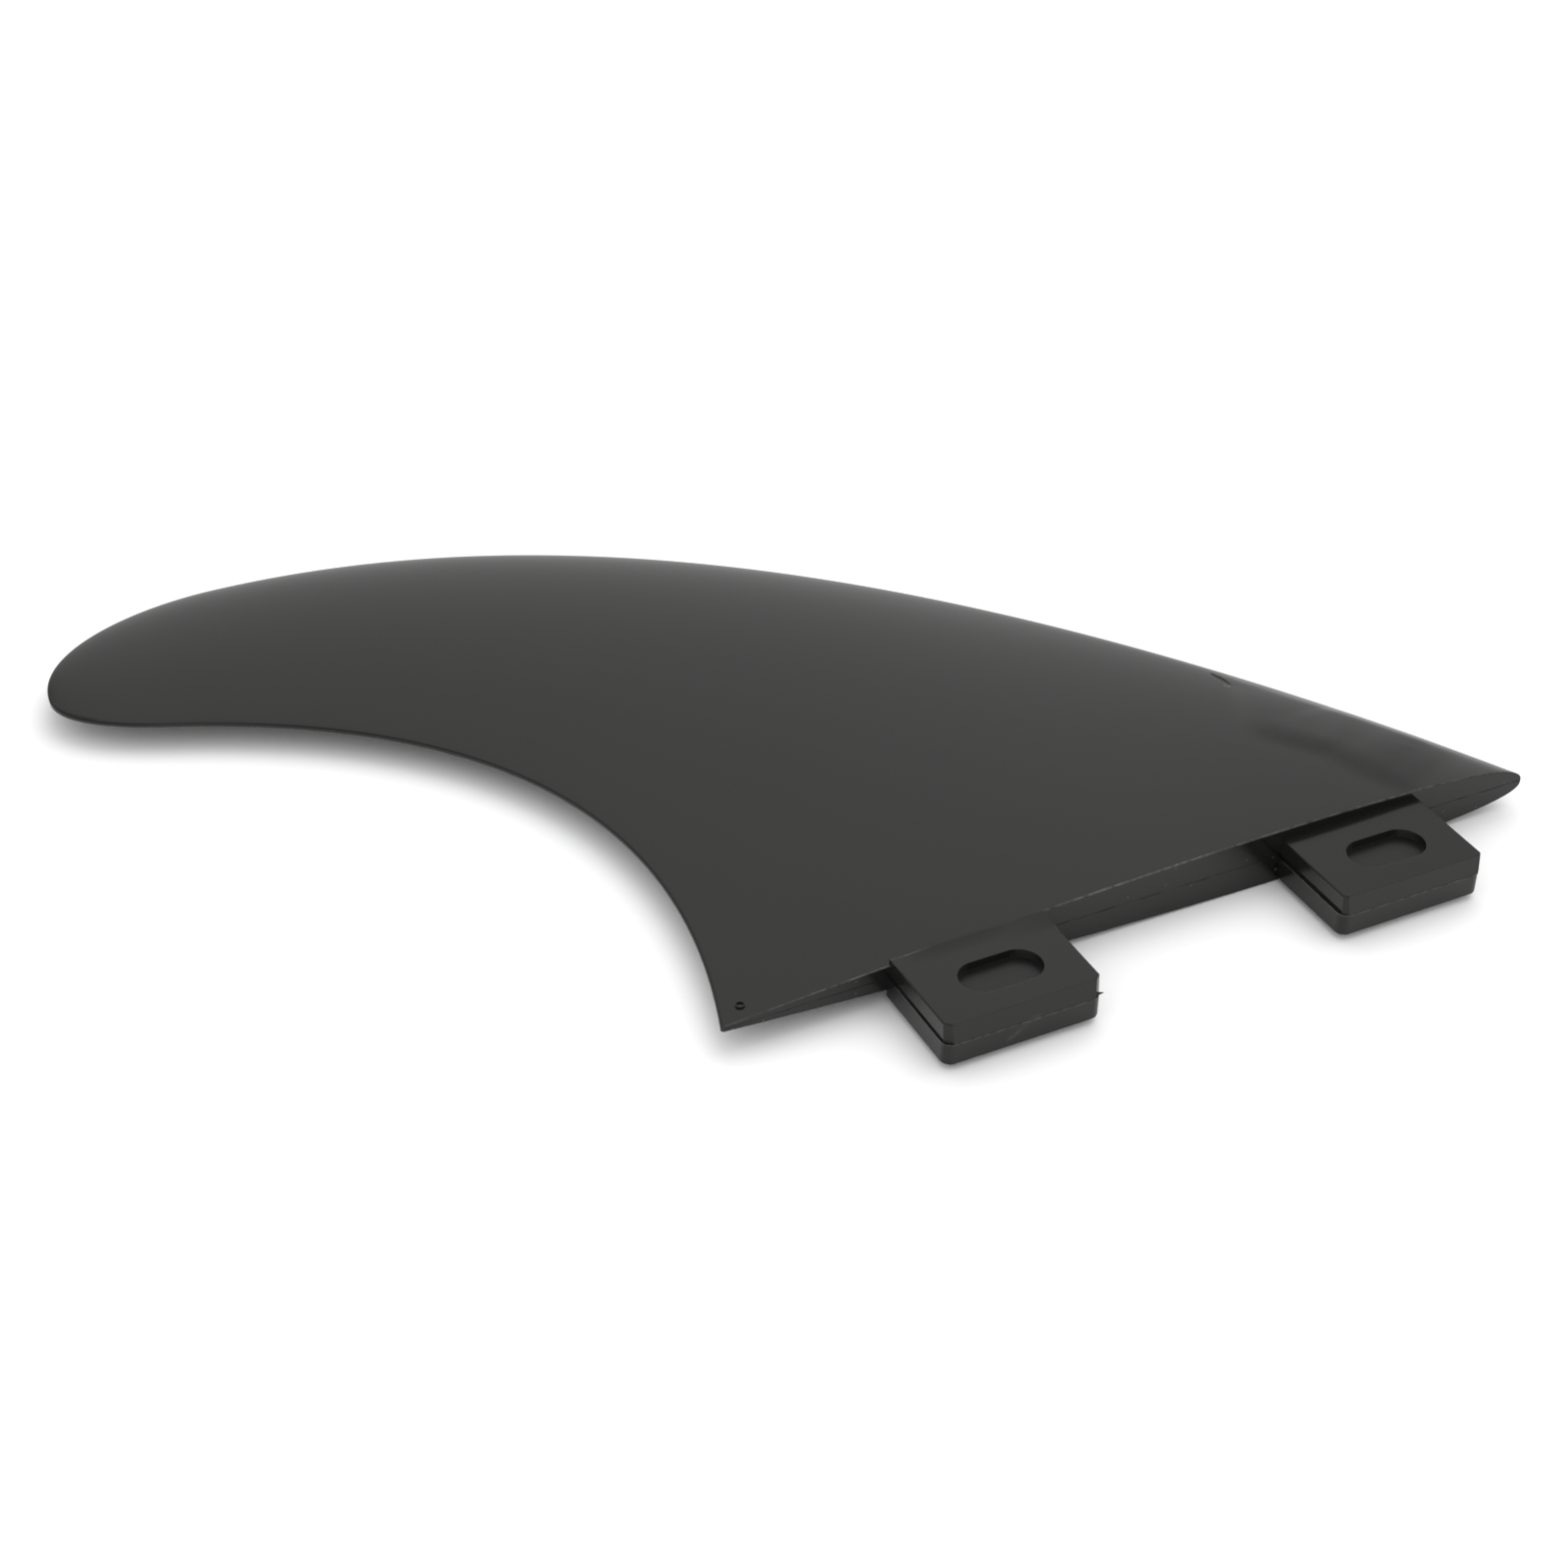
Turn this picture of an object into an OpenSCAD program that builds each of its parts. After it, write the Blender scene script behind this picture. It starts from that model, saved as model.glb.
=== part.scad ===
// Twin-tab surfboard fin, moulded in one piece and lying on its side.
// X runs along the base towards the nose, Y from the base towards the tip, and Z is up,
// through the thickness. The origin is the middle of the base, on the parting plane
// where the two halves of the mould met.

/* [Blade] */
// Length of the base, from the heel at the trailing edge to the nose at the leading edge
base_length = 112.2; // [95:0.1:130]
// Height of the blade above the base
blade_height = 115.6; // [100:0.1:135]
// Greatest thickness of the blade, at the base
blade_thickness = 7.6; // [5:0.1:10]
// Thickness of the blunt trailing edge
edge_thickness = 0.7; // [0.4:0.05:1.2]
// How fast the blade thins as its chord shortens: 1 is in step with the chord
thinning = 0.8; // [0.6:0.05:1]
// Fullness of the leading edge: smaller is blunter
nose_fullness = 0.39; // [0.35:0.01:0.6]

/* [Outline] */
// Angle at which the leading edge leaves the base
nose_angle = 116.3; // [105:0.1:130]
// Reach of the leading edge's curve at the nose
nose_reach = 64.8; // [50:0.1:75]
// Distance of the blade's highest point behind the heel
crown_back = 23.9; // [10:0.1:35]
// Reach of the leading edge's curve at the highest point
crown_reach = 60.8; // [45:0.1:70]
// Distance of the tip behind the heel
tip_back = 50.9; // [40:0.1:60]
// Distance of the tip below the highest point
tip_drop = 18.3; // [12:0.1:24]
// Reach of the tip's round in front, above and below
tip_rounding = [12.3, 12.1, 6.1];
// Place of the bend, where the trailing edge starts, from the tip
bend_offset = [12.7, -11.5];
// Slope of the trailing edge at the bend
bend_angle = -22.3; // [-35:0.1:-10]
// Reach of the trailing edge's curve at the bend, towards the tip and the heel
bend_reach = [3.3, 34.6];
// Angle at which the trailing edge leaves the base
heel_angle = 71; // [60:0.1:85]
// Reach of the trailing edge's curve at the heel
heel_reach = 47; // [30:0.1:55]

/* [Tabs] */
// Length of each tab along the base
tab_length = 20.5; // [16:0.1:24]
// Depth of each tab below the base
tab_depth = 13.5; // [9:0.1:18]
// Height of the tabs above the parting plane
tab_upper = 2.5; // [1.8:0.1:3]
// Height of the tabs below the parting plane
tab_lower = 3; // [1.8:0.1:3.4]
// Distance of the rear tab from the heel
rear_tab_start = 21.3; // [16:0.1:26]
// Gap between the two tabs
tab_gap = 33.2; // [28:0.1:38]
// Radius of the tabs' outer corners
tab_corner = 1.2; // [0.5:0.1:2.5]
// Step at the parting plane, where the upper half is the smaller
seam_step = 0.4; // [0:0.05:0.6]
// Run of the tabs into the blade
tab_root = 0.4; // [0.2:0.1:1]

/* [Pockets] */
// Length of the pocket in each tab's upper face
pocket_length = 10.5; // [6:0.1:12]
// Width of the pocket
pocket_width = 5.6; // [3:0.1:6]
// Depth of the pocket
pocket_depth = 1.1; // [0.5:0.1:2]
// Distance of the pocket's centre line from the base
pocket_offset = 7; // [5:0.1:7.5]
// Distance of the pocket's middle from the tab's, towards the nose
pocket_shift = 0.4; // [0:0.1:0.6]

/* [Mould mark] */
// Diameter of the raised ring that the mould left near the heel
mark_diameter = 1.1; // [0.8:0.1:2]
// Thickness of the ring
mark_wall = 0.2; // [0.1:0.05:0.3]
// Height of the ring above the blade
mark_height = 0.3; // [0.1:0.05:0.5]
// Place of the mould mark from the heel
mark_offset = [3.6, 2.5];

/* [Hidden] */

// Facets along the blade, round the tip and across each face
blade_sections = 40;
tip_sections = 14;
face_steps = 20;
// Share of the tip's round at which the last section closes the blade
tip_end = 0.96;
// Clearance by which a cutter passes the face that it cuts
cut_over = 1;
round_facets = 48;

heel = [-base_length / 2, 0];
nose = [base_length / 2, 0];
crown = [heel.x - crown_back, blade_height];
tip = [heel.x - tip_back, blade_height - tip_drop];
bend = tip + bend_offset;

// Point at a distance and an angle
function reach(angle, distance) = distance * [cos(angle), sin(angle)];

// Point of a cubic curve at a share t of its way
function curve(p, t) = pow(1 - t, 3) * p[0] + 3 * pow(1 - t, 2) * t * p[1]
    + 3 * (1 - t) * t * t * p[2] + pow(t, 3) * p[3];

// Outline from the base to the tip, in front and behind
front_edge = [nose, nose + reach(nose_angle, nose_reach), crown + [crown_reach, 0], crown];
front_tip = [crown, crown - [tip_rounding[0], 0], tip + [0, tip_rounding[1]], tip];
back_edge = [heel, heel + reach(heel_angle, heel_reach),
    bend + reach(bend_angle, bend_reach[1]), bend];
back_tip = [bend, bend - reach(bend_angle, bend_reach[0]), tip - [0, tip_rounding[2]], tip];

// Front and back ends of each section, as [front, back]
blade_chords = [
    for (i = [0:blade_sections])
        [curve(front_edge, i / blade_sections), curve(back_edge, i / blade_sections)]
];
tip_chords = [
    for (i = [1:tip_sections])
        let (t = tip_end * sin(90 * i / tip_sections)) [curve(front_tip, t), curve(back_tip, t)]
];
chords = concat(blade_chords, tip_chords);

// Half thickness at a share s of a chord: a round front, thickest near a third, a thin back
thickest_share = nose_fullness / (1 + nose_fullness);
function shape(s) = pow(s, nose_fullness) * (1 - s);
foil_thickness = blade_thickness - edge_thickness * thickest_share;
function half_thickness(chord, s) = foil_thickness / 2 * pow(chord / base_length, thinning)
    * shape(s) / shape(thickest_share) + edge_thickness / 2 * s;

// Shares along a chord, close together at the round front
front_crowding = 1.7;
shares = [for (k = [0:face_steps]) pow(k / face_steps, front_crowding)];

function face_point(ends, s, side) =
    let (place = ends[0] + (ends[1] - ends[0]) * s)
    [place.x, place.y, side * half_thickness(norm(ends[1] - ends[0]), s)];

// One section as a ring: over the upper face to the front, and back below
function ring(ends) = concat(
    [for (k = [face_steps:-1:0]) face_point(ends, shares[k], 1)],
    [for (k = [1:face_steps]) face_point(ends, shares[k], -1)]
);

ring_size = 2 * face_steps + 1;

front_tab_start = rear_tab_start + tab_length + tab_gap;

module blade() {
    rings = [for (ends = chords) each ring(ends)];
    last = len(chords) - 1;
    walls = [
        for (i = [0:last - 1], k = [0:ring_size - 1])
            let (
                a = i * ring_size + k,
                b = i * ring_size + (k + 1) % ring_size
            )
            each [[a, b + ring_size, b], [a, a + ring_size, b + ring_size]]
    ];
    base = [for (k = [0:ring_size - 1]) k];
    end = [for (k = [ring_size - 1:-1:0]) last * ring_size + k];
    polyhedron(rings, concat(walls, [base, end]));
}

// Slab of a tab: square at the root and round at its two outer corners
module slab(length, depth) {
    translate([0, tab_corner - depth])
        square([length, depth - tab_corner + tab_root]);
    translate([tab_corner, -depth])
        square([length - 2 * tab_corner, depth]);
    for (x = [tab_corner, length - tab_corner])
        translate([x, tab_corner - depth])
            circle(r = tab_corner, $fn = round_facets);
}

// Pocket with round ends, open upwards
module pocket() {
    half_run = (pocket_length - pocket_width) / 2;
    translate([tab_length / 2 + pocket_shift, -pocket_offset, tab_upper - pocket_depth])
        linear_extrude(pocket_depth + cut_over) {
            square([2 * half_run, pocket_width], center = true);
            for (x = [-half_run, half_run])
                translate([x, 0])
                    circle(d = pocket_width, $fn = round_facets);
        }
}

module tab(start) {
    translate([heel.x + start, 0, 0]) difference() {
        union() {
            translate([0, 0, -tab_lower])
                linear_extrude(tab_lower)
                    slab(tab_length, tab_depth);
            translate([seam_step, 0, 0])
                linear_extrude(tab_upper)
                    slab(tab_length - seam_step, tab_depth - seam_step / 2);
        }
        pocket();
    }
}

// Raised ring, run down into the blade
module mould_mark() {
    share = 1 - mark_offset.x / base_length;
    surface = half_thickness(base_length, share);
    translate([heel.x + mark_offset.x, mark_offset.y, 0])
        linear_extrude(surface + mark_height)
            difference() {
                circle(d = mark_diameter, $fn = round_facets);
                circle(d = mark_diameter - 2 * mark_wall, $fn = round_facets);
            }
}

module fin() {
    color("#3d3d3d") {
        blade();
        tab(rear_tab_start);
        tab(front_tab_start);
        mould_mark();
    }
}

fin();
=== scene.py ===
import math
import random

import bmesh
import bpy
from mathutils import Matrix, Vector


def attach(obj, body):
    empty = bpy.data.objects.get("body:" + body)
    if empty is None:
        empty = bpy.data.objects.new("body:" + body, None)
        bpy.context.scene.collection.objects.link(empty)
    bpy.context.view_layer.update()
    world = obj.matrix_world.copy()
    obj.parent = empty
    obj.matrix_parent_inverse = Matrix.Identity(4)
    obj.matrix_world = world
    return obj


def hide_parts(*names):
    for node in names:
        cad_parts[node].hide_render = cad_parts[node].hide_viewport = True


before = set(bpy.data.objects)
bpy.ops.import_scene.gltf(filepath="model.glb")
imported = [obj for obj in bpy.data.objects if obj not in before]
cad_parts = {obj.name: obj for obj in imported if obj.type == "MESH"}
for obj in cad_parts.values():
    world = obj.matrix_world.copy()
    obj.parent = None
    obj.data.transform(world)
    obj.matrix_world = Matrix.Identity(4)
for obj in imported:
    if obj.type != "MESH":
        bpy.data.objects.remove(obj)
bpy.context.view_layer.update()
mm = 0.001
print("frame loaded")


def deselectAll():
    if bpy.context.object and bpy.context.object.mode != "OBJECT":
        bpy.ops.object.mode_set(mode="OBJECT")
    bpy.ops.object.select_all(action="DESELECT")


def workOn(piece):
    deselectAll()
    piece.select_set(True)
    bpy.context.view_layer.objects.active = piece


def editMode(piece):
    workOn(piece)
    bpy.ops.object.mode_set(mode="EDIT")
    bpy.ops.mesh.select_all(action="DESELECT")


def pickEdges(piece, test):  # selects the edges whose two ends, in mm, pass the test
    bpy.ops.mesh.select_mode(type="EDGE")
    bpy.ops.mesh.select_all(action="DESELECT")
    mesh = bmesh.from_edit_mesh(piece.data)
    for edge in mesh.edges:
        a, b = [v.co / mm for v in edge.verts]
        if test(a, b):
            edge.select_set(True)
    bmesh.update_edit_mesh(piece.data)


def pickFaces(piece, test):  # selects the faces whose middle, in mm, and normal pass the test
    bpy.ops.mesh.select_mode(type="FACE")
    bpy.ops.mesh.select_all(action="DESELECT")
    mesh = bmesh.from_edit_mesh(piece.data)
    for face in mesh.faces:
        if test(face.calc_center_median() / mm, face.normal):
            face.select_set(True)
    bmesh.update_edit_mesh(piece.data)


def bevelPicked(width, segments):
    bpy.ops.mesh.bevel(offset=width * mm, segments=segments, profile=0.5, clamp_overlap=True)


def applyModifier(piece, kind, **settings):
    workOn(piece)
    modifier = piece.modifiers.new(kind.lower(), kind)
    for key, value in settings.items():
        setattr(modifier, key, value)
    bpy.ops.object.modifier_apply(modifier=modifier.name)


def near(a, b, slack=0.01):
    return abs(a - b) < slack


# The blade: a foil whose sections run from the leading to the trailing edge, in mm
blade = {
    "baseLength": 112.2,
    "thickness": 7.6,
    "edgeThickness": 0.62,
    "thinning": 0.8,
    "noseFullness": 0.39,
    "frontEdge": [(56.1, 0), (27.39, 58.09), (-19.2, 115.6), (-80, 115.6)],
    "frontTip": [(-80, 115.6), (-92.3, 115.6), (-107, 109.4), (-107, 97.3)],
    "backEdge": [(-56.1, 0), (-40.8, 44.44), (-62.29, 72.67), (-94.3, 85.8)],
    "backTip": [(-94.3, 85.8), (-97.35, 87.05), (-107, 91.2), (-107, 97.3)],
    "tipPairing": 2.13,
    "sections": 190,
    "tipSections": 60,
    "faceSteps": 80,
    "noseCrowding": 2.0,
    "baseRounding": 0.18,
    "edgeRounding": 0.26,
    "heelRounding": 0.4,
    "heelRoundingFade": 45,
    "roundingSteps": 4,
}
# A soft swelling of the upper face behind the nose: the line where it starts, from the leading
# edge to the base, as x, y, its height and how far it takes to rise, in mm
swelling = {
    "line": [(35.3, 38.6, 0, 1), (32.9, 34.5, 0.1, 1.6), (32.6, 31.3, 0.18, 2.2),
             (31.2, 28.8, 0.24, 3), (29.9, 26.2, 0.27, 3.6), (28.2, 22.4, 0.28, 4.2),
             (27.9, 19.7, 0.28, 4.6), (29.4, 16.6, 0.3, 5), (31.4, 14.1, 0.34, 5),
             (33.2, 11.6, 0.42, 4.8), (34.0, 8.7, 0.46, 4.6), (35.1, 5.1, 0.4, 4.2),
             (36.6, 1.8, 0.24, 3.4), (37.4, 0, 0.12, 3), (37.9, -2, 0.1, 3)],
    "growth": 0.35,
    "growthReach": 18,
    "fade": 4.5,
}


def onCurve(points, t):
    a, b, c, d = [Vector(p) for p in points]
    u = 1 - t
    return u ** 3 * a + 3 * u * u * t * b + 3 * u * t * t * c + t ** 3 * d


def bladeSections():  # the front and back ends of each section, from the base to the tip
    ends = []
    for i in range(blade["sections"] + 1):
        t = i / blade["sections"]
        ends.append((onCurve(blade["frontEdge"], t), onCurve(blade["backEdge"], t)))
    for i in range(1, blade["tipSections"]):
        t = math.sin(math.pi / 2 * i / blade["tipSections"])
        back = 1 - (1 - t) ** blade["tipPairing"]
        ends.append((onCurve(blade["frontTip"], t), onCurve(blade["backTip"], back)))
    return ends


def halfThickness(chord, s):
    fullness = blade["noseFullness"]
    thickest = fullness / (1 + fullness)
    foil = blade["thickness"] - blade["edgeThickness"] * thickest
    rise = s ** fullness * (1 - s) / (thickest ** fullness * (1 - thickest))
    thinned = (chord / blade["baseLength"]) ** blade["thinning"]
    return foil / 2 * thinned * rise + blade["edgeThickness"] / 2 * s


def swellingHeight(place, ahead):  # ahead: distance behind the leading edge
    if place.x < 25 or place.y > 40:
        return 0
    best = None
    for (ax, ay, aHigh, aWide), (bx, by, bHigh, bWide) in zip(swelling["line"],
                                                              swelling["line"][1:]):
        a, run = Vector((ax, ay)), Vector((bx - ax, by - ay))
        offset = place - a
        share = min(max(offset.dot(run) / run.length_squared, 0), 1)
        gap = (offset - run * share).length
        if best is None or gap < best[0]:
            inside = run.x * offset.y - run.y * offset.x > 0
            best = (gap, inside, aHigh + (bHigh - aHigh) * share, aWide + (bWide - aWide) * share)
    gap, inside, height, width = best
    if not inside:
        return 0
    u = min(gap / width, 1)  # steep at first, then flatter and flatter
    v = min(ahead / swelling["fade"], 1)
    growth = 1 + swelling["growth"] * max(0, 1 - ahead / swelling["growthReach"])
    return height * growth * (6 * u * u - 8 * u ** 3 + 3 * u ** 4) * (3 * v * v - 2 * v ** 3)


def sectionPoints(front, back, inset=0):  # over the upper face to the nose, and back below
    chord = (back - front).length
    along = (back - front) / chord
    thin = 1 - inset / (blade["thickness"] / 2)
    front, back = front + along * inset, back - along * inset
    low = max(0, 1 - back.y / blade["heelRoundingFade"])
    run = blade["edgeRounding"] + (blade["heelRounding"] - blade["edgeRounding"]) * low
    run = min(run, chord / 4)
    drop = min(blade["edgeRounding"], run)
    last = 1 - run / chord
    steps = blade["faceSteps"]
    profile = [(s, halfThickness(chord, s)) for s in
               [last * (k / steps) ** blade["noseCrowding"] for k in range(steps + 1)]]
    for k in range(1, blade["roundingSteps"] + 1):  # the trailing edge's small rounding
        turn = math.pi / 2 * k / blade["roundingSteps"]
        profile.append((1 - run * (1 - math.sin(turn)) / chord,
                        halfThickness(chord, 1) - drop * (1 - math.cos(turn))))
    points = []
    for side, (s, height) in [(1, q) for q in reversed(profile)] + [(-1, q) for q in profile[1:]]:
        place = front.lerp(back, s)
        swell = swellingHeight(place, s * chord) if side > 0 else 0
        points.append(Vector((place.x, place.y, side * height * thin + swell)) * mm)
    return points


def makeBlade():
    rings = []
    radius = blade["baseRounding"]
    for k in range(blade["roundingSteps"] + 1):  # the base's edge is rounded all round
        turn = math.pi / 2 * k / blade["roundingSteps"]
        y = radius * (1 - math.cos(turn))
        front = onCurve(blade["frontEdge"], y / 3 / blade["frontEdge"][1][1])
        back = onCurve(blade["backEdge"], y / 3 / blade["backEdge"][1][1])
        rings.append(sectionPoints(front, back, radius * (1 - math.sin(turn))))
    rings += [sectionPoints(*pair) for pair in bladeSections()[1:]]
    deselectAll()
    bpy.ops.mesh.primitive_circle_add(
        vertices=len(rings[0]), radius=blade["baseLength"] / 2 * mm, fill_type="NGON")
    piece = bpy.context.object
    piece.name = "finBody"
    editMode(piece)
    mesh = bmesh.from_edit_mesh(piece.data)
    mesh.verts.ensure_lookup_table()
    ring = list(range(len(rings[0])))
    for k, point in zip(ring, rings[0]):
        mesh.verts[k].co = point
    bpy.ops.mesh.select_mode(type="EDGE")
    bpy.ops.mesh.select_all(action="SELECT")
    for points in rings[1:]:  # each section is extruded from the last one, then put in its place
        bpy.ops.mesh.extrude_edges_move()
        mesh = bmesh.from_edit_mesh(piece.data)
        mesh.verts.ensure_lookup_table()
        after = []
        for k, point in zip(ring, points):
            ends = [e.other_vert(mesh.verts[k]) for e in mesh.verts[k].link_edges]
            new = [v for v in ends if v.select][0]
            new.co = point
            after.append(new.index)
        ring = after
    bpy.ops.mesh.edge_face_add()  # closes the tip
    bpy.ops.mesh.select_all(action="SELECT")
    bpy.ops.mesh.normals_make_consistent(inside=False)
    deselectAll()
    return piece


# The two tabs, each moulded in a lower and a smaller upper half, in mm
tabs = {
    "starts": {"rear": -34.8, "front": 18.9},
    "length": 20.5,
    "depth": 13.5,
    "upper": 2.5,
    "lower": 3.0,
    "seamStep": {"rear": 0.2, "front": 0.32},
    "endStep": 0.05,
    "endDraft": 0.42,
    "lowerCorner": 1.3,
    "upperCorner": {"rear": 0.75, "front": 0.45},
    "cornerLean": 0.2,
    "topRounding": 0.2,
    "endRounding": 0.05,
    "bottomRounding": 0.25,
    "seamRounding": 0.1,
    "endSeamRounding": 0.03,
    "root": 0.3,
    "fairingStart": -3.4,
    "fairingRows": [(-2.2, 0.25, 0), (-1.0, 0.65, 0), (0.15, 1, 1), (0.35, 1, 1)],
    "fairingGap": 0.04,
    "fairingCuts": 20,
    "lip": {"middle": -25.5, "reach": 7, "height": 0.17},
}
pocket = {"length": 10.5, "width": 5.6, "depth": 1.1, "offset": 7.0, "shift": 0.4,
          "floorRounding": 0.12, "rimRounding": 0.08}


def baseHeight(x):  # the blade's half thickness at its base
    return halfThickness(blade["baseLength"], min(max(0.5 - x / blade["baseLength"], 0.001), 1))


def makeSlab(name, left, right, end, root, bottom, top, corner, cornerSteps):
    deselectAll()
    bpy.ops.mesh.primitive_cube_add(
        size=mm, location=[v * mm for v in ((left + right) / 2, (end + root) / 2, (bottom + top) / 2)],
        scale=(right - left, root - end, top - bottom))
    piece = bpy.context.object
    piece.name = name
    bpy.ops.object.transform_apply(location=True, rotation=False, scale=True)
    editMode(piece)
    pickEdges(piece, lambda a, b: near(a.y, end) and near(b.y, end) and near(a.x, b.x))
    bevelPicked(corner, cornerSteps)
    return piece


def makeLower(name, start):
    piece = makeSlab(name + "Lower", start, start + tabs["length"], -tabs["depth"], tabs["root"],
                     -tabs["lower"], 0, tabs["lowerCorner"], 8)
    atEnd = lambda a, b: near(a.y, -tabs["depth"]) and near(b.y, -tabs["depth"])
    for height, end, width in ((-tabs["lower"], None, tabs["bottomRounding"]),
                               (0, True, tabs["endSeamRounding"]),
                               (0, False, tabs["seamRounding"])):
        pickEdges(piece, lambda a, b: near(a.z, height) and near(b.z, height)
                  and end in (None, atEnd(a, b)) and min(a.y, b.y) < tabs["root"] - 0.01)
        bevelPicked(width, 3)
    deselectAll()
    return piece


def makeUpper(name, start, faired):
    left = start + tabs["seamStep"][name]
    right = start + tabs["length"]
    root = tabs["fairingStart"] if faired else tabs["root"]
    end = -tabs["depth"] + tabs["endStep"]
    corner = tabs["upperCorner"][name]
    piece = makeSlab(name + "Upper", left, right, end, root, 0, tabs["upper"], corner, 1)
    mesh = bmesh.from_edit_mesh(piece.data)
    for v in mesh.verts:
        if near(v.co.z / mm, tabs["upper"]):
            if v.co.y / mm < end / 2:  # the end leans back towards its top edge
                v.co.y += tabs["endDraft"] * mm
        elif near(v.co.y / mm, end):  # and each corner is cut deeper at the seam
            v.co.x += tabs["cornerLean"] * mm * (1 if v.co.x / mm < (left + right) / 2 else -1)
        elif near(v.co.y / mm, end + corner):
            v.co.y += tabs["cornerLean"] * mm
    bmesh.update_edit_mesh(piece.data)
    endTop = end + tabs["endDraft"]
    for atEnd, width in ((False, tabs["topRounding"]), (True, tabs["endRounding"])):
        pickEdges(piece, lambda a, b: near(a.z, tabs["upper"]) and near(b.z, tabs["upper"])
                  and (near(a.y, endTop) and near(b.y, endTop)) == atEnd
                  and min(a.y, b.y) < root - 0.01)
        bevelPicked(width, 3)
    if faired:  # where the blade is the higher, the tab's top runs up to it
        pickEdges(piece, lambda a, b: near(a.y, root) and near(b.y, root) and abs(a.x - b.x) > 15)
        bpy.ops.mesh.subdivide(number_cuts=tabs["fairingCuts"])
        lip = tabs["lip"]
        for y, riseShare, lipShare in tabs["fairingRows"]:
            pickFaces(piece, lambda c, n: n.y > 0.9)
            bpy.ops.mesh.extrude_region_move(TRANSFORM_OT_translate={"value": (0, 0, 0)})
            mesh = bmesh.from_edit_mesh(piece.data)
            for v in mesh.verts:
                if v.select:
                    v.co.y = y * mm
                    if v.co.z / mm > tabs["upper"] / 2:
                        x = v.co.x / mm
                        rise = max(0, baseHeight(x) - tabs["fairingGap"] - tabs["upper"])
                        swell = max(0, 1 - ((x - lip["middle"]) / lip["reach"]) ** 4)
                        v.co.z = (tabs["upper"] + rise * riseShare
                                  + lip["height"] * swell * lipShare) * mm
            bmesh.update_edit_mesh(piece.data)
    deselectAll()
    return piece


def makePocket(middle):
    half = (pocket["length"] - pocket["width"]) / 2
    over = 0.6
    floor = tabs["upper"] - pocket["depth"]
    height = pocket["depth"] + over
    deselectAll()
    bpy.ops.mesh.primitive_cylinder_add(
        vertices=64, radius=pocket["width"] / 2 * mm, depth=height * mm,
        location=[v * mm for v in (middle, -pocket["offset"], floor + height / 2)])
    piece = bpy.context.object
    bpy.ops.object.transform_apply(location=True, rotation=False, scale=False)
    editMode(piece)
    mesh = bmesh.from_edit_mesh(piece.data)
    for v in mesh.verts:  # drawn out to both sides from the middle
        if abs(v.co.x - middle * mm) > 1e-6:
            v.co.x += half * mm * (1 if v.co.x > middle * mm else -1)
    bmesh.update_edit_mesh(piece.data)
    pickEdges(piece, lambda a, b: near(a.z, floor) and near(b.z, floor))
    bevelPicked(pocket["floorRounding"], 2)
    deselectAll()
    return piece


def joinSolids(piece, other, operation):
    applyModifier(piece, "BOOLEAN", operation=operation, solver="EXACT", object=other)
    deselectAll()
    bpy.data.objects.remove(other, do_unlink=True)


def roundRim(piece):  # the pocket's upper edge
    rim = [pocket["length"] / 2 + 0.05, pocket["width"] / 2 + 0.05]
    middle = sum((v.co for v in piece.data.vertices), Vector()) / len(piece.data.vertices) / mm
    editMode(piece)
    pickEdges(piece, lambda a, b: near(a.z, tabs["upper"]) and near(b.z, tabs["upper"])
              and max(abs(p.y + pocket["offset"]) for p in (a, b)) < rim[1]
              and max(abs(p.x - middle.x) for p in (a, b)) < rim[0] + 1)
    bevelPicked(pocket["rimRounding"], 2)
    deselectAll()


# What the moulding and some use have left on the fin, in mm
marks = {
    "mouldMark": {"place": (-52.5, 2.5), "diameter": 1.15, "wall": 0.15, "height": 0.2},
    "nicks": [{"place": (32.7, 33.5), "size": (1.3, 5, 0.5), "turn": (-6, 8, 0), "sunk": -0.11},
              {"place": (48.3, 5.8), "size": (0.5, 1.1, 0.3), "turn": (0, 10, 25), "sunk": 0.0}],
    "seamLine": {"width": 0.13, "height": 0.05, "drop": 0, "cuts": 160, "seed": 5},
    "endSeams": [{"from": 19.6, "to": 38.8, "seed": 8}, {"from": -26.3, "to": -14.9, "seed": 3}],
    "endRidge": {"width": 0.14, "height": 0.04, "drop": 0.07, "cuts": 60},
    "flashNib": {"place": (-14.35, -12.9, 0.05), "length": 0.75, "radius": 0.22},
    "flashNub": {"place": (18.72, -0.2, -1.65), "diameter": 0.5},
}


def faceHeight(x, y):  # the blade's upper face above a point, from the nearest section
    best = None
    for front, back in bladeSections():
        along = back - front
        chord = along.length
        offset = Vector((x, y)) - front
        s = offset.dot(along) / chord / chord
        gap = abs(offset.x * along.y - offset.y * along.x) / chord
        if 0 < s < 1 and (best is None or gap < best[0]):
            best = (gap, halfThickness(chord, s))
    return best[1]


def makePin(diameter, bottom, top, place):
    deselectAll()
    bpy.ops.mesh.primitive_cylinder_add(
        vertices=32, radius=diameter / 2 * mm, depth=(top - bottom) * mm,
        location=[v * mm for v in (*place, (bottom + top) / 2)])
    bpy.ops.object.transform_apply(location=True, rotation=False, scale=False)
    return bpy.context.object


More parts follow.
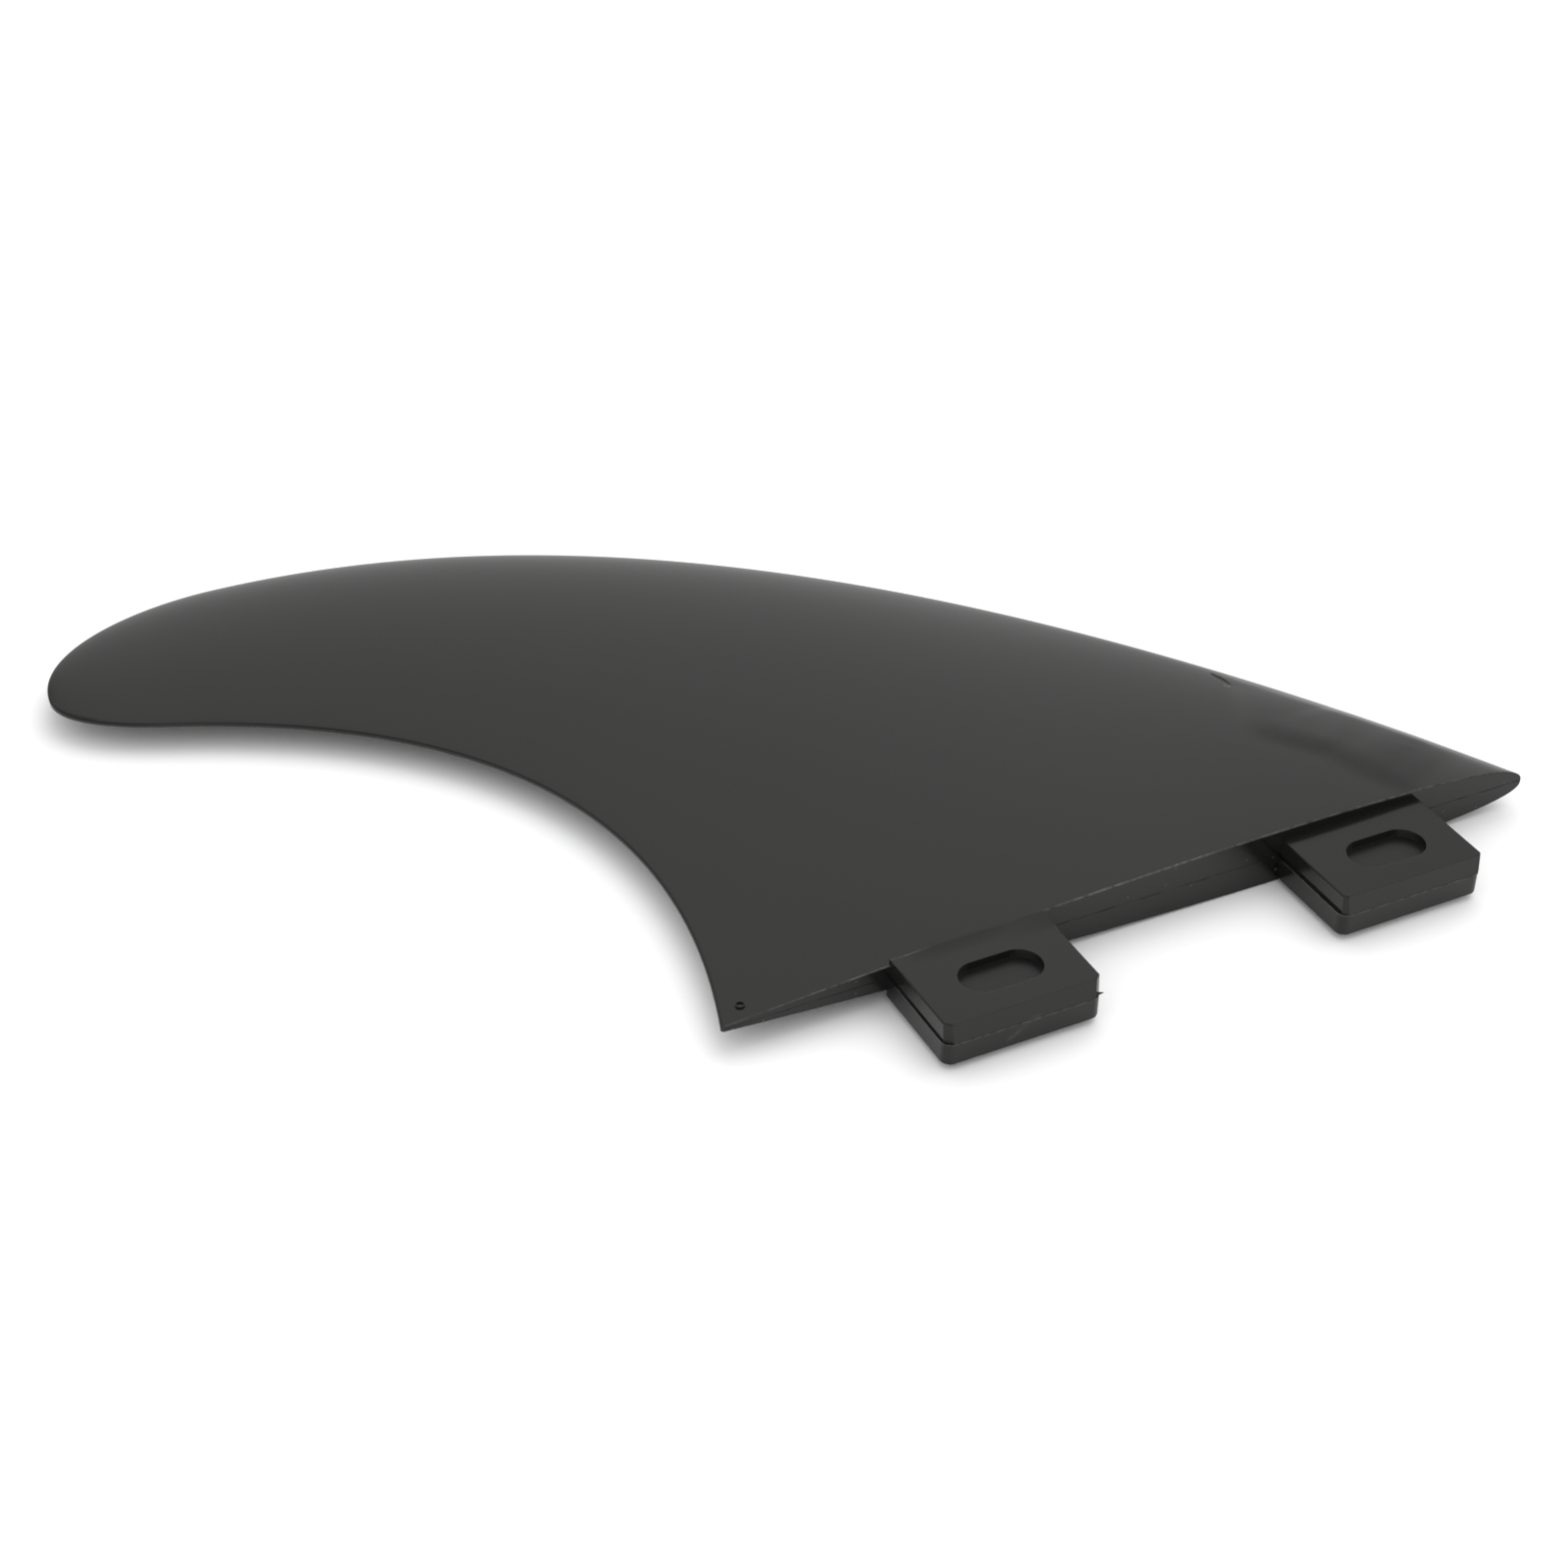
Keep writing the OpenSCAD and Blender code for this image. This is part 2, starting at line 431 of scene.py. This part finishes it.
def makeRidge(left, right, face, ridge, seed):  # a fine uneven ridge along x
    deselectAll()
    bpy.ops.mesh.primitive_cube_add(
        size=mm, location=((left + right) / 2 * mm, face * mm, 0),
        scale=(right - left, 4 * ridge["height"], ridge["width"]))
    piece = bpy.context.object
    bpy.ops.object.transform_apply(location=True, rotation=False, scale=True)
    editMode(piece)
    pickEdges(piece, lambda a, b: abs(a.x - b.x) > (right - left) / 2)
    bpy.ops.mesh.subdivide(number_cuts=ridge["cuts"])
    mesh = bmesh.from_edit_mesh(piece.data)
    chance = random.Random(seed)
    lifts = {}
    for v in mesh.verts:
        key = round(v.co.x / mm, 2)
        lifts.setdefault(key, (chance.uniform(0.2, 1.3), chance.uniform(-0.02, 0.02)))
        v.co.z += (lifts[key][1] - ridge["drop"]) * mm
        lift = -ridge["height"] * lifts[key][0] if v.co.y / mm < face else 3 * ridge["height"]
        v.co.y = (face + lift) * mm
    bmesh.update_edit_mesh(piece.data)
    deselectAll()
    return piece


def addMarks(piece):
    mark = marks["mouldMark"]
    height = faceHeight(*mark["place"])
    joinSolids(piece, makePin(mark["diameter"], height - 0.2, height + mark["height"],
                              mark["place"]), "UNION")
    joinSolids(piece, makePin(mark["diameter"] - 2 * mark["wall"], height, height + 1,
                              mark["place"]), "DIFFERENCE")
    for nick in marks["nicks"]:
        deselectAll()
        height = faceHeight(*nick["place"])
        bpy.ops.mesh.primitive_uv_sphere_add(
            segments=24, ring_count=12, radius=0.5 * mm, scale=nick["size"],
            rotation=[math.radians(turn) for turn in nick["turn"]],
            location=[v * mm for v in (*nick["place"], height - nick["sunk"])])
        bpy.ops.object.transform_apply(location=True, rotation=True, scale=True)
        joinSolids(piece, bpy.context.object, "DIFFERENCE")
    # the parting line, where the mould's halves met
    half = blade["baseLength"] / 2 - 0.5
    line = marks["seamLine"]
    joinSolids(piece, makeRidge(-half, half, 0, line, line["seed"]), "UNION")
    for seam in marks["endSeams"]:
        joinSolids(piece, makeRidge(seam["from"], seam["to"], -tabs["depth"], marks["endRidge"],
                                    seam["seed"]), "UNION")
    nib = marks["flashNib"]
    deselectAll()
    bpy.ops.mesh.primitive_cone_add(
        vertices=8, radius1=nib["radius"] * mm, radius2=0.03 * mm, depth=nib["length"] * mm,
        location=[v * mm for v in nib["place"]], rotation=(0, math.radians(80), math.radians(-20)))
    bpy.ops.object.transform_apply(location=True, rotation=True, scale=True)
    joinSolids(piece, bpy.context.object, "UNION")
    nub = marks["flashNub"]
    deselectAll()
    bpy.ops.mesh.primitive_uv_sphere_add(
        segments=16, ring_count=8, radius=nub["diameter"] / 2 * mm,
        location=[v * mm for v in nub["place"]])
    bpy.ops.object.transform_apply(location=True, rotation=False, scale=False)
    joinSolids(piece, bpy.context.object, "UNION")


def makeFin():
    piece = makeBlade()
    print("blade lofted:", len(piece.data.vertices), "points")
    for name, start in tabs["starts"].items():
        upper = makeUpper(name, start, name == "rear")
        joinSolids(upper, makePocket(start + tabs["length"] / 2 + pocket["shift"]), "DIFFERENCE")
        roundRim(upper)
        joinSolids(piece, makeLower(name, start), "UNION")
        joinSolids(piece, upper, "UNION")
        print(name, "tab joined:", len(piece.data.vertices), "points")
    addMarks(piece)
    print("marks added:", len(piece.data.vertices), "points")
    editMode(piece)
    bpy.ops.mesh.select_all(action="SELECT")
    bpy.ops.mesh.remove_doubles(threshold=0.00001 * mm)
    bpy.ops.mesh.normals_make_consistent(inside=False)
    deselectAll()
    workOn(piece)
    bpy.ops.object.shade_smooth_by_angle(angle=math.radians(35))
    applyModifier(piece, "WEIGHTED_NORMAL", mode="FACE_AREA", weight=50, keep_sharp=True)
    return piece


def toLinear(code):  # sRGB hex to linear, with full alpha
    parts = [int(code[i:i + 2], 16) / 255 for i in (1, 3, 5)]
    return [c / 12.92 if c <= 0.04045 else ((c + 0.055) / 1.055) ** 2.4 for c in parts] + [1]


def addNode(tree, kind, settings=None, links=None):  # links: input name or index to a socket
    node = tree.nodes.new(kind)
    for key, value in (settings or {}).items():
        if isinstance(key, int) or key in node.inputs:
            node.inputs[key].default_value = value
        else:
            setattr(node, key, value)
    for key, socket in (links or {}).items():
        tree.links.new(socket, node.inputs[key])
    return node


# Glass-filled nylon, moulded against polished steel: a near-black body whose grey is
# mostly the pale room in its satin skin. A pale, rough colour paints a highlight in patches
# along the base's upper edge, where it is partly worn too, and a highlight along the lip under the tabs'
# seam
nylon = {
    "colour": "#161615", "ior": 1.53, "tint": (1, 1, 0.98, 1), "roughness": (0.16, 0.22),
    "highlightAndMarkColour": "#5a5a56", "highlightAndMarkRoughness": 0.6, "highlightAndWearPatch": 1.1,
    # painted highlight on the base's upper edge, partly real wear: its reach from the face and its level
    # along x
    "baseEdge": {"inner": 0.1, "outer": 0.35},
    "edgeSheenAndWear": [(-56.1, 0.35), (-48, 0.5), (-41, 0.7), (-35, 0.55), (-31, 0.35), (-28, 0.05), (-16, 0.05),
                 (-13, 0.6), (-7, 1), (5, 1), (12, 0.6), (24, 0.5), (40, 0.55), (50, 0.3),
                 (56.1, 0.1)],
    # painted highlight along the lip just under the tabs' seam
    "seamHighlight": {"low": -0.16, "high": 0.02, "level": 0.6},
    "curlWear": {"from": -27.2, "to": -22.2, "top": -23.6, "slope": 0.62, "width": 0.6,
                 "level": 0.22},
    "specks": {"spacing": 1.3, "size": 0.13, "share": 0.95, "level": 0.5},
    "floorRoughness": 0.34,
    "scuffed": {"way": (-0.7071, -0.7071, 0), "level": 0.9},
}


def mouldedNylon():
    material = bpy.data.materials.new("mouldedNylon")
    material.use_nodes = True
    tree = material.node_tree
    tree.nodes.clear()
    coordinates = addNode(tree, "ShaderNodeTexCoord")
    place = coordinates.outputs["Object"]
    along = addNode(tree, "ShaderNodeSeparateXYZ", None, {"Vector": place})
    facing = addNode(tree, "ShaderNodeSeparateXYZ", None, {"Vector": coordinates.outputs["Normal"]})

    # painted highlight along the base's rounded upper edge where it faces up, in patches, partly real wear
    edge = nylon["baseEdge"]
    above = addNode(tree, "ShaderNodeMapRange",
                    {"From Min": edge["outer"] * mm, "From Max": edge["inner"] * mm},
                    {"Value": along.outputs["Y"]})
    below = addNode(tree, "ShaderNodeMapRange",
                    {"From Min": -0.03 * mm, "From Max": 0.01 * mm},
                    {"Value": along.outputs["Y"]})
    upward = addNode(tree, "ShaderNodeMapRange", {"From Min": 0.15, "From Max": 0.5},
                     {"Value": facing.outputs["Z"]})
    patch = addNode(tree, "ShaderNodeTexNoise", {"Scale": 1 / (nylon["highlightAndWearPatch"] * mm), "Detail": 3},
                    {"Vector": place})
    patches = addNode(tree, "ShaderNodeMapRange",
                      {"From Min": 0.32, "From Max": 0.62, "To Min": 0.15},
                      {"Value": patch.outputs["Fac"]})
    half = blade["baseLength"] / 2
    share = addNode(tree, "ShaderNodeMapRange", {"From Min": -half * mm, "From Max": half * mm},
                    {"Value": along.outputs["X"]})
    edgeSheenAndWearRamp = addNode(tree, "ShaderNodeValToRGB", None, {"Fac": share.outputs["Result"]})
    ramp = edgeSheenAndWearRamp.color_ramp
    while len(ramp.elements) < len(nylon["edgeSheenAndWear"]):
        ramp.elements.new(0.5)
    for stop, (x, level) in zip(ramp.elements, nylon["edgeSheenAndWear"]):
        stop.position = (x + half) / (2 * half)
        stop.color = (level, level, level, 1)
    edgeSheenAndWearMask = edgeSheenAndWearRamp.outputs["Color"]
    for factor in (above, below, upward, patches):
        edgeSheenAndWearMask = addNode(tree, "ShaderNodeMath", {"operation": "MULTIPLY"},
                       {0: edgeSheenAndWearMask, 1: factor.outputs["Result"]}).outputs["Value"]

    # painted highlight along the lip just under the tabs' seam, in patches
    seam = nylon["seamHighlight"]
    low = addNode(tree, "ShaderNodeMath", {"operation": "GREATER_THAN", 1: seam["low"] * mm},
                  {0: along.outputs["Z"]})
    high = addNode(tree, "ShaderNodeMath", {"operation": "LESS_THAN", 1: seam["high"] * mm},
                   {0: along.outputs["Z"]})
    outer = addNode(tree, "ShaderNodeMath", {"operation": "LESS_THAN", 1: -0.8 * mm},
                    {0: along.outputs["Y"]})
    steep = addNode(tree, "ShaderNodeMath", {"operation": "LESS_THAN", 1: 0.75},
                    {0: facing.outputs["Z"]})
    seamHighlightPatches = addNode(tree, "ShaderNodeMapRange",
                     {"From Min": 0.35, "From Max": 0.6, "To Max": seam["level"]},
                     {"Value": patch.outputs["Fac"]})
    seamHighlightMask = seamHighlightPatches.outputs["Result"]
    for factor in (low, high, outer, steep):
        seamHighlightMask = addNode(tree, "ShaderNodeMath", {"operation": "MULTIPLY"},
                       {0: seamHighlightMask, 1: factor.outputs["Value"]}).outputs["Value"]

    # a curved flow mark on the rear tab's end
    curl = nylon["curlWear"]
    path = addNode(tree, "ShaderNodeMath",
                   {"operation": "MULTIPLY_ADD", 1: curl["slope"],
                    2: -curl["top"] * curl["slope"] * mm}, {0: along.outputs["X"]})
    path = addNode(tree, "ShaderNodeMath", {"operation": "MINIMUM", 1: 0},
                   {0: path.outputs["Value"]})
    gap = addNode(tree, "ShaderNodeMath", {"operation": "SUBTRACT"},
                  {0: along.outputs["Z"], 1: path.outputs["Value"]})
    gap = addNode(tree, "ShaderNodeMath", {"operation": "ABSOLUTE"}, {0: gap.outputs["Value"]})
    beside = addNode(tree, "ShaderNodeMapRange",
                     {"From Min": curl["width"] * mm, "From Max": 0.05 * mm,
                      "To Max": curl["level"]}, {"Value": gap.outputs["Value"]})
    first = addNode(tree, "ShaderNodeMapRange",
                    {"From Min": curl["from"] * mm, "From Max": (curl["from"] + 0.5) * mm},
                    {"Value": along.outputs["X"]})
    final = addNode(tree, "ShaderNodeMapRange",
                    {"From Min": curl["to"] * mm, "From Max": (curl["to"] - 1) * mm},
                    {"Value": along.outputs["X"]})
    curled = outer.outputs["Value"]
    for factor in (beside, first, final, patches):
        curled = addNode(tree, "ShaderNodeMath", {"operation": "MULTIPLY"},
                         {0: curled, 1: factor.outputs["Result"]}).outputs["Value"]

    # specks on the base
    specks = nylon["specks"]
    flat = addNode(tree, "ShaderNodeCombineXYZ", None,
                   {"X": along.outputs["X"], "Y": along.outputs["Z"]})
    cells = addNode(tree, "ShaderNodeTexVoronoi",
                    {"voronoi_dimensions": "2D", "Scale": 1 / (specks["spacing"] * mm)},
                    {"Vector": flat.outputs["Vector"]})
    dots = addNode(tree, "ShaderNodeMapRange",
                   {"From Min": specks["size"], "From Max": specks["size"] / 2,
                    "To Max": specks["level"]},
                   {"Value": cells.outputs["Distance"]})
    kinds = addNode(tree, "ShaderNodeSeparateColor", None, {"Color": cells.outputs["Color"]})
    chosen = addNode(tree, "ShaderNodeMath", {"operation": "GREATER_THAN", 1: specks["share"]},
                     {0: kinds.outputs["Red"]})
    away = addNode(tree, "ShaderNodeMath", {"operation": "LESS_THAN", 1: -0.9},
                   {0: facing.outputs["Y"]})
    onBase = addNode(tree, "ShaderNodeMath", {"operation": "GREATER_THAN", 1: -0.5 * mm},
                     {0: along.outputs["Y"]})
    away = addNode(tree, "ShaderNodeMath", {"operation": "MULTIPLY"},
                   {0: away.outputs["Value"], 1: onBase.outputs["Value"]})
    speck = addNode(tree, "ShaderNodeMath", {"operation": "MULTIPLY"},
                    {0: chosen.outputs["Value"], 1: away.outputs["Value"]})
    speck = addNode(tree, "ShaderNodeMath", {"operation": "MULTIPLY"},
                    {0: speck.outputs["Value"], 1: dots.outputs["Result"]})

    # the pale colour: painted highlights on the base's edge and under the seam, with the real specks and
    # flow mark
    pale = addNode(tree, "ShaderNodeMath", {"operation": "MAXIMUM"}, {0: edgeSheenAndWearMask, 1: seamHighlightMask})
    for other in (speck.outputs["Value"], curled):
        pale = addNode(tree, "ShaderNodeMath", {"operation": "MAXIMUM"},
                       {0: pale.outputs["Value"], 1: other})
    colour = addNode(tree, "ShaderNodeMix",
                     {"data_type": "RGBA", 6: toLinear(nylon["colour"]),
                      7: toLinear(nylon["highlightAndMarkColour"])}, {0: pale.outputs["Value"]})
    # the tabs' corners are scuffed matt
    corner = addNode(tree, "ShaderNodeVectorMath",
                     {"operation": "DOT_PRODUCT", 1: nylon["scuffed"]["way"]},
                     {0: coordinates.outputs["Normal"]})
    corner = addNode(tree, "ShaderNodeMapRange",
                     {"From Min": 0.86, "From Max": 0.97, "To Max": nylon["scuffed"]["level"]},
                     {"Value": corner.outputs["Value"]})
    scuffed = addNode(tree, "ShaderNodeMath", {"operation": "MULTIPLY"},
                      {0: corner.outputs["Result"], 1: outer.outputs["Value"]})
    matt = addNode(tree, "ShaderNodeMath", {"operation": "MAXIMUM"},
                   {0: scuffed.outputs["Value"], 1: pale.outputs["Value"]})
    smudge = addNode(tree, "ShaderNodeTexNoise", {"Scale": 35, "Detail": 3}, {"Vector": place})
    rough = addNode(tree, "ShaderNodeMapRange",
                    {"From Min": 0.3, "From Max": 0.7, "To Min": nylon["roughness"][0],
                     "To Max": nylon["roughness"][1]}, {"Value": smudge.outputs["Fac"]})
    rough = addNode(tree, "ShaderNodeMix", {"data_type": "FLOAT", 3: nylon["highlightAndMarkRoughness"]},
                    {0: matt.outputs["Value"], 2: rough.outputs["Result"]})
    # the pockets' floors are duller
    sunken = addNode(tree, "ShaderNodeMath", {"operation": "LESS_THAN", 1: (tabs["upper"] - 0.2) * mm},
                     {0: along.outputs["Z"]})
    raised = addNode(tree, "ShaderNodeMath", {"operation": "GREATER_THAN", 1: mm},
                     {0: along.outputs["Z"]})
    level = addNode(tree, "ShaderNodeMath", {"operation": "GREATER_THAN", 1: 0.5},
                    {0: facing.outputs["Z"]})
    floor = outer.outputs["Value"]
    for factor in (sunken, raised, level):
        floor = addNode(tree, "ShaderNodeMath", {"operation": "MULTIPLY"},
                        {0: floor, 1: factor.outputs["Value"]}).outputs["Value"]
    rough = addNode(tree, "ShaderNodeMix", {"data_type": "FLOAT", 3: nylon["floorRoughness"]},
                    {0: floor, 2: rough.outputs[0]})
    grain = addNode(tree, "ShaderNodeTexNoise", {"Scale": 2500, "Detail": 2}, {"Vector": place})
    bump = addNode(tree, "ShaderNodeBump", {"Strength": 0.05, "Distance": 0.00005},
                   {"Height": grain.outputs["Fac"]})
    skin = addNode(tree, "ShaderNodeBsdfPrincipled",
                   {"IOR": nylon["ior"], "Specular Tint": nylon["tint"]},
                   {"Base Color": colour.outputs[2], "Roughness": rough.outputs[0],
                    "Normal": bump.outputs["Normal"]})
    addNode(tree, "ShaderNodeOutputMaterial", None, {"Surface": skin.outputs["BSDF"]})
    return material


fin = makeFin()
fin.data.materials.clear()
fin.data.materials.append(mouldedNylon())
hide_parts("fin")
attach(fin, "root")
print("fin made")

# The room: a pale floor under the fin, a soft box overhead and a white surround
room = {"floorDrop": 3.8, "floorSize": 6, "skyLevel": 0.98, "sideWay": (1, -0.3, 0),
        "sides": [(-1, 0.7), (-0.75, 0.6), (-0.45, 0.25), (-0.2, 0.92), (0, 1.21), (0.2, 1.16),
                  (0.42, 0.6), (0.8, 0.64), (1, 0.64)],
        "levels": [(0, 1.35), (0.2, 1.18), (0.4, 0.86), (0.6, 0.68), (0.8, 0.54), (1, 0.62)]}


def paintFloor():
    material = bpy.data.materials.new("paperFloor")
    material.use_nodes = True
    tree = material.node_tree
    tree.nodes.clear()
    path = addNode(tree, "ShaderNodeLightPath")
    colour = addNode(tree, "ShaderNodeMix", {"data_type": "RGBA"})
    colour.inputs[6].default_value = toLinear("#d9d9d9")
    colour.inputs[7].default_value = toLinear("#ffffff")
    tree.links.new(path.outputs["Is Camera Ray"], colour.inputs[0])
    paper = addNode(tree, "ShaderNodeBsdfDiffuse", None, {"Color": colour.outputs[2]})
    addNode(tree, "ShaderNodeOutputMaterial", None, {"Surface": paper.outputs["BSDF"]})
    return material


def makeRoom():
    deselectAll()
    bpy.ops.mesh.primitive_plane_add(size=room["floorSize"],
                                     location=(0, 0.05, -room["floorDrop"] * mm))
    floor = bpy.context.object
    floor.name = "paperFloor"
    floor.data.materials.append(paintFloor())

    world = bpy.data.worlds.new("paleRoom")
    bpy.context.scene.world = world
    world.use_nodes = True
    tree = world.node_tree
    tree.nodes.clear()
    # gloss sees a room that is bright low down, dimmer overhead and dark in part of the left
    way = addNode(tree, "ShaderNodeTexCoord").outputs["Generated"]
    side = addNode(tree, "ShaderNodeVectorMath",
                   {"operation": "DOT_PRODUCT", 1: room["sideWay"]}, {0: way})
    side = addNode(tree, "ShaderNodeMapRange", {"From Min": -1, "From Max": 1},
                   {"Value": side.outputs["Value"]})
    split = addNode(tree, "ShaderNodeSeparateXYZ", None, {"Vector": way})
    wide = addNode(tree, "ShaderNodeValToRGB", None, {"Fac": side.outputs["Result"]})
    tall = addNode(tree, "ShaderNodeValToRGB", None, {"Fac": split.outputs["Z"]})
    across = [((x + 1) / 2, level) for x, level in room["sides"]]
    for node, stops in ((wide, across), (tall, room["levels"])):
        ramp = node.color_ramp
        ramp.interpolation = "B_SPLINE"
        while len(ramp.elements) < len(stops):
            ramp.elements.new(0.5)
        for stop, (position, level) in zip(ramp.elements, stops):
            stop.position = position
            stop.color = (level, level, level, 1)
    gloss = addNode(tree, "ShaderNodeMath", {"operation": "MULTIPLY"},
                    {0: wide.outputs["Color"], 1: tall.outputs["Color"]})
    path = addNode(tree, "ShaderNodeLightPath")
    lit = addNode(tree, "ShaderNodeMix", {"data_type": "FLOAT", 2: room["skyLevel"]},
                  {0: path.outputs["Is Glossy Ray"], 3: gloss.outputs["Value"]})
    seen = addNode(tree, "ShaderNodeMath", {"operation": "MAXIMUM"},
                   {0: lit.outputs[0], 1: path.outputs["Is Camera Ray"]})
    sky = addNode(tree, "ShaderNodeBackground", {"Color": (1, 1, 1, 1)},
                  {"Strength": seen.outputs["Value"]})
    addNode(tree, "ShaderNodeOutputWorld", None, {"Surface": sky.outputs["Background"]})


def addLamp(name, place, target, size, power):
    deselectAll()
    bpy.ops.object.light_add(type="AREA", location=place)
    lamp = bpy.context.object
    lamp.name = name
    lamp.data.shape = "RECTANGLE"
    lamp.data.size, lamp.data.size_y = size
    lamp.data.energy = power
    aim = Vector(target) - Vector(place)
    lamp.rotation_euler = aim.to_track_quat("-Z", "Y").to_euler()
    return lamp


def makeCamera():
    data = bpy.data.cameras.new("camera")
    camera = bpy.data.objects.new("camera", data)
    bpy.context.collection.objects.link(camera)
    right = Vector((0.89589, -0.44419, 0.00851))
    up = Vector((0.25045, 0.52075, 0.81615))
    turn = Matrix((right, up, right.cross(up))).transposed()
    camera.matrix_world = Matrix.Translation(Vector((-155.49, -212.59, 199.96)) * mm) @ turn.to_4x4()
    data.sensor_width = 36
    data.lens = 63.07
    data.clip_start = 0.01
    bpy.context.scene.camera = camera


makeRoom()
softBox = addLamp("softBox", (0.6, 0.5, 1.35), (-0.02, 0.05, 0), (1.6, 1.6), 8)
softBox.visible_glossy = False
makeCamera()
scene = bpy.context.scene
scene.view_settings.view_transform = "Standard"
print("room, lamps and camera set")
